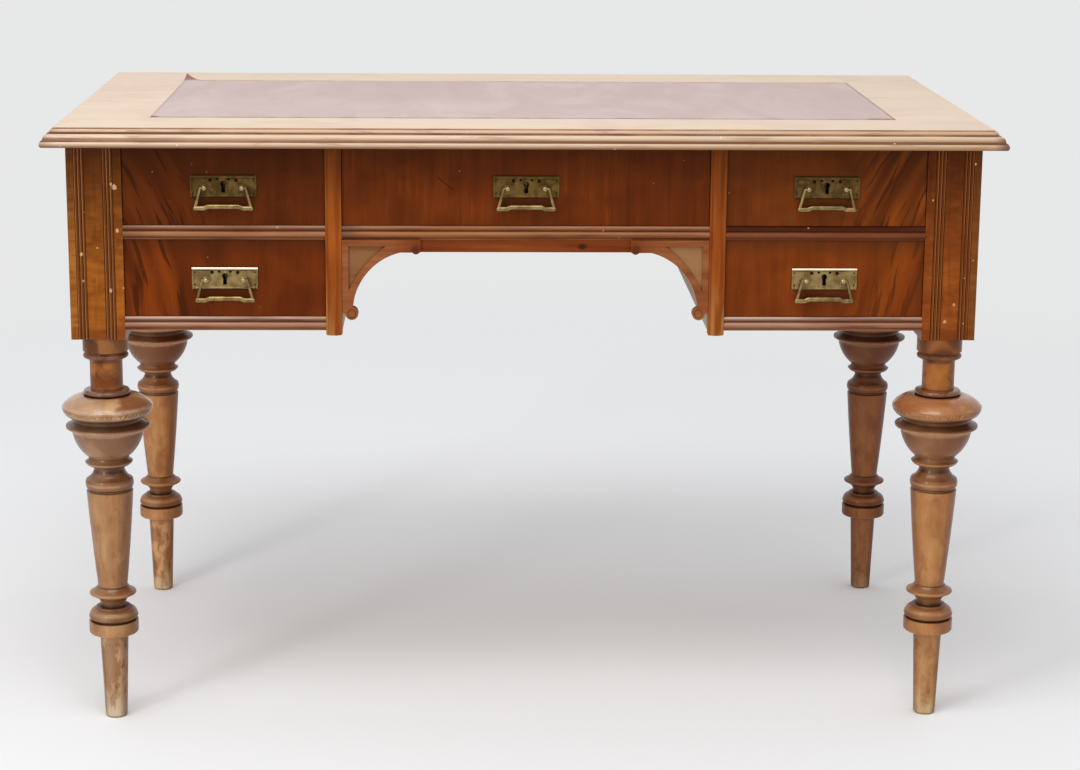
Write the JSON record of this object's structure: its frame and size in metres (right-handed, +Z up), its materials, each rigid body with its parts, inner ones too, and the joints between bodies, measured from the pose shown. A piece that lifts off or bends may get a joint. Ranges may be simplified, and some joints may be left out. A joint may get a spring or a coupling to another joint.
{
  "type": "writing desk",
  "caption": "Writing desk with a leather-lined moulded top, locking drawers beside and over an arched kneehole, brass bail handles and turned tapering legs.",
  "frame": {"origin": "on the floor under the middle of the desk", "axes": "+X to the right as seen by the sitter facing the drawers, +Y to the back, +Z up"},
  "size_m": [1.2, 0.67, 0.78],
  "materials": {
    "top_wood": "bleached and worn",
    "leather": "faded mauve",
    "frame_wood": "golden brown polish",
    "leg_wood": "mottled honey polish",
    "veneer": "dark red-brown polish",
    "inner_wood": "bare",
    "handle_brass": "tarnished",
    "lock_brass": "dull"
  },
  "bodies": {
    "carcass": {"top_board": "top_wood", "top_moulding": "top_wood", "leather_inset": "leather", "leg_front_left": "leg_wood", "leg_front_right": "leg_wood", "leg_back_left": "leg_wood", "leg_back_right": "leg_wood", "side_pilasters": "frame_wood", "side_panel_left": "frame_wood", "side_panel_right": "frame_wood", "back_panel": "frame_wood", "top_rail": "inner_wood", "partition_left": "frame_wood", "partition_right": "frame_wood", "stile_left": "frame_wood", "stile_right": "frame_wood", "rail_upper_left": "frame_wood", "rail_upper_right": "frame_wood", "rail_lower_left": "frame_wood", "rail_lower_right": "frame_wood", "rail_centre": "frame_wood", "apron": "frame_wood", "bracket_left": "frame_wood", "bracket_right": "frame_wood", "drawer_runners": "inner_wood"},
    "drawer_upper_left": {"drawer_front_upper_left": "veneer", "drawer_box_upper_left": "inner_wood", "drawer_bottom_upper_left": "inner_wood", "handle_plate_upper_left": "handle_brass", "lock_case_upper_left": "lock_brass"},
    "bail_upper_left": {"handle_bail_upper_left": "handle_brass"},
    "bolt_upper_left": {"lock_bolt_upper_left": "lock_brass"},
    "drawer_lower_left": {"drawer_front_lower_left": "veneer", "drawer_box_lower_left": "inner_wood", "drawer_bottom_lower_left": "inner_wood", "handle_plate_lower_left": "handle_brass", "lock_case_lower_left": "lock_brass"},
    "bail_lower_left": {"handle_bail_lower_left": "handle_brass"},
    "bolt_lower_left": {"lock_bolt_lower_left": "lock_brass"},
    "drawer_centre": {"drawer_front_centre": "veneer", "drawer_box_centre": "inner_wood", "drawer_bottom_centre": "inner_wood", "handle_plate_centre": "handle_brass", "lock_case_centre": "lock_brass"},
    "bail_centre": {"handle_bail_centre": "handle_brass"},
    "bolt_centre": {"lock_bolt_centre": "lock_brass"},
    "drawer_upper_right": {"drawer_front_upper_right": "veneer", "drawer_box_upper_right": "inner_wood", "drawer_bottom_upper_right": "inner_wood", "handle_plate_upper_right": "handle_brass", "lock_case_upper_right": "lock_brass"},
    "bail_upper_right": {"handle_bail_upper_right": "handle_brass"},
    "bolt_upper_right": {"lock_bolt_upper_right": "lock_brass"},
    "drawer_lower_right": {"drawer_front_lower_right": "veneer", "drawer_box_lower_right": "inner_wood", "drawer_bottom_lower_right": "inner_wood", "handle_plate_lower_right": "handle_brass", "lock_case_lower_right": "lock_brass"},
    "bail_lower_right": {"handle_bail_lower_right": "handle_brass"},
    "bolt_lower_right": {"lock_bolt_lower_right": "lock_brass"}
  },
  "joints": [
    {"name": "slide_upper_left", "type": "slide", "parent": "carcass", "child": "drawer_upper_left", "axis": [0, -1, 0], "range_m": [0, 0.4]},
    {"name": "swing_upper_left", "type": "hinge", "parent": "drawer_upper_left", "child": "bail_upper_left", "pos_m": [-0.3778, -0.311, 0.7036], "axis": [-1, 0, 0], "range_deg": [0, 150]},
    {"name": "throw_upper_left", "type": "slide", "parent": "drawer_upper_left", "child": "bolt_upper_left", "axis": [0, 0, 1], "range_m": [0, 0.006]},
    {"name": "slide_lower_left", "type": "slide", "parent": "carcass", "child": "drawer_lower_left", "axis": [0, -1, 0], "range_m": [0, 0.4]},
    {"name": "swing_lower_left", "type": "hinge", "parent": "drawer_lower_left", "child": "bail_lower_left", "pos_m": [-0.3778, -0.311, 0.58695], "axis": [-1, 0, 0], "range_deg": [0, 150]},
    {"name": "throw_lower_left", "type": "slide", "parent": "drawer_lower_left", "child": "bolt_lower_left", "axis": [0, 0, 1], "range_m": [0, 0.006]},
    {"name": "slide_centre", "type": "slide", "parent": "carcass", "child": "drawer_centre", "axis": [0, -1, 0], "range_m": [0, 0.4]},
    {"name": "swing_centre", "type": "hinge", "parent": "drawer_centre", "child": "bail_centre", "pos_m": [0, -0.311, 0.7036], "axis": [-1, 0, 0], "range_deg": [0, 150]},
    {"name": "throw_centre", "type": "slide", "parent": "drawer_centre", "child": "bolt_centre", "axis": [0, 0, 1], "range_m": [0, 0.006]},
    {"name": "slide_upper_right", "type": "slide", "parent": "carcass", "child": "drawer_upper_right", "axis": [0, -1, 0], "range_m": [0, 0.4]},
    {"name": "swing_upper_right", "type": "hinge", "parent": "drawer_upper_right", "child": "bail_upper_right", "pos_m": [0.3778, -0.311, 0.7036], "axis": [-1, 0, 0], "range_deg": [0, 150]},
    {"name": "throw_upper_right", "type": "slide", "parent": "drawer_upper_right", "child": "bolt_upper_right", "axis": [0, 0, 1], "range_m": [0, 0.006]},
    {"name": "slide_lower_right", "type": "slide", "parent": "carcass", "child": "drawer_lower_right", "axis": [0, -1, 0], "range_m": [0, 0.4]},
    {"name": "swing_lower_right", "type": "hinge", "parent": "drawer_lower_right", "child": "bail_lower_right", "pos_m": [0.3778, -0.311, 0.58695], "axis": [-1, 0, 0], "range_deg": [0, 150]},
    {"name": "throw_lower_right", "type": "slide", "parent": "drawer_lower_right", "child": "bolt_lower_right", "axis": [0, 0, 1], "range_m": [0, 0.006]}
  ]
}
